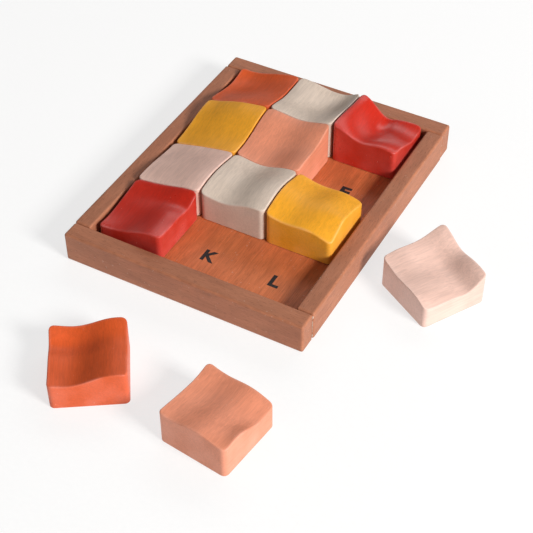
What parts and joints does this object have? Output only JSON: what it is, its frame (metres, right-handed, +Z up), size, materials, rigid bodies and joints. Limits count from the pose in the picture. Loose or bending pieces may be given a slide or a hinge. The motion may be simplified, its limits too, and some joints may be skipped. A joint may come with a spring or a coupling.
{
  "type": "sliding tile puzzle",
  "caption": "Wooden tray puzzle: square wave-topped tiles slide between lettered cells of a shallow tray; their tops join into one wavy surface when solved.",
  "frame": {"origin": "middle of the tray's underside, on the surface that it stands on", "axes": "+X to the right along the front rail, +Y from the front rail to the back rail, +Z up"},
  "size_m": [0.2657, 0.3484, 0.044],
  "materials": {
    "rail_wood": "brown-rose stained wood, satin",
    "board_wood": "red-brown stained wood, satin",
    "dowel_wood": "plain beech",
    "paint_orange": "satin paint over fine wood grain",
    "paint_cream": "satin paint over fine wood grain",
    "paint_red": "satin paint over fine wood grain",
    "paint_yellow": "satin paint over fine wood grain",
    "paint_salmon": "satin paint over fine wood grain",
    "paint_pink": "satin paint over fine wood grain"
  },
  "bodies": {
    "tray": {"front_rail": "rail_wood", "back_rail": "rail_wood", "left_rail": "rail_wood", "right_rail": "rail_wood", "base_board": "board_wood", "dowel_front_left_low": "dowel_wood", "dowel_front_left_high": "dowel_wood", "dowel_front_right_low": "dowel_wood", "dowel_front_right_high": "dowel_wood", "dowel_back_left_low": "dowel_wood", "dowel_back_left_high": "dowel_wood", "dowel_back_right_low": "dowel_wood", "dowel_back_right_high": "dowel_wood"},
    "tile_a": {"tile_a": "paint_orange"},
    "tile_b": {"tile_b": "paint_cream"},
    "tile_c": {"tile_c": "paint_red"},
    "tile_d": {"tile_d": "paint_yellow"},
    "tile_e": {"tile_e": "paint_salmon"},
    "tile_f": {"tile_f": "paint_pink"},
    "tile_g": {"tile_g": "paint_pink"},
    "tile_h": {"tile_h": "paint_cream"},
    "tile_i": {"tile_i": "paint_yellow"},
    "tile_j": {"tile_j": "paint_red"},
    "tile_k": {"tile_k": "paint_orange"},
    "tile_l": {"tile_l": "paint_salmon"}
  },
  "joints": [
    {"name": "tile_c_slide", "type": "slide", "parent": "tray", "child": "tile_c", "axis": [0, 1, 0], "range_m": [-0.0501, 0]},
    {"name": "tile_h_slide", "type": "slide", "parent": "tray", "child": "tile_h", "axis": [0, 1, 0], "range_m": [-0.0501, 0]},
    {"name": "tile_i_slide", "type": "slide", "parent": "tray", "child": "tile_i", "axis": [0, 1, 0], "range_m": [-0.0501, 0]},
    {"name": "tile_e_slide", "type": "slide", "parent": "tray", "child": "tile_e", "axis": [1, 0, 0], "range_m": [0, 0.0509]},
    {"name": "tile_j_slide", "type": "slide", "parent": "tray", "child": "tile_j", "axis": [1, 0, 0], "range_m": [0, 0.1018]},
    {"name": "tile_a_lift", "type": "slide", "parent": "tray", "child": "tile_a", "axis": [0, 0, 1], "range_m": [0, 0.05]},
    {"name": "tile_b_lift", "type": "slide", "parent": "tray", "child": "tile_b", "axis": [0, 0, 1], "range_m": [0, 0.05]},
    {"name": "tile_d_lift", "type": "slide", "parent": "tray", "child": "tile_d", "axis": [0, 0, 1], "range_m": [0, 0.05]},
    {"name": "tile_g_lift", "type": "slide", "parent": "tray", "child": "tile_g", "axis": [0, 0, 1], "range_m": [0, 0.05]},
    {"name": "tile_f_lift", "type": "slide", "parent": "tray", "child": "tile_f", "axis": [0, 0, 1], "range_m": [0, 0.06]},
    {"name": "tile_k_lift", "type": "slide", "parent": "tray", "child": "tile_k", "axis": [0, 0, 1], "range_m": [0, 0.06]},
    {"name": "tile_l_lift", "type": "slide", "parent": "tray", "child": "tile_l", "axis": [0, 0, 1], "range_m": [0, 0.06]}
  ]
}
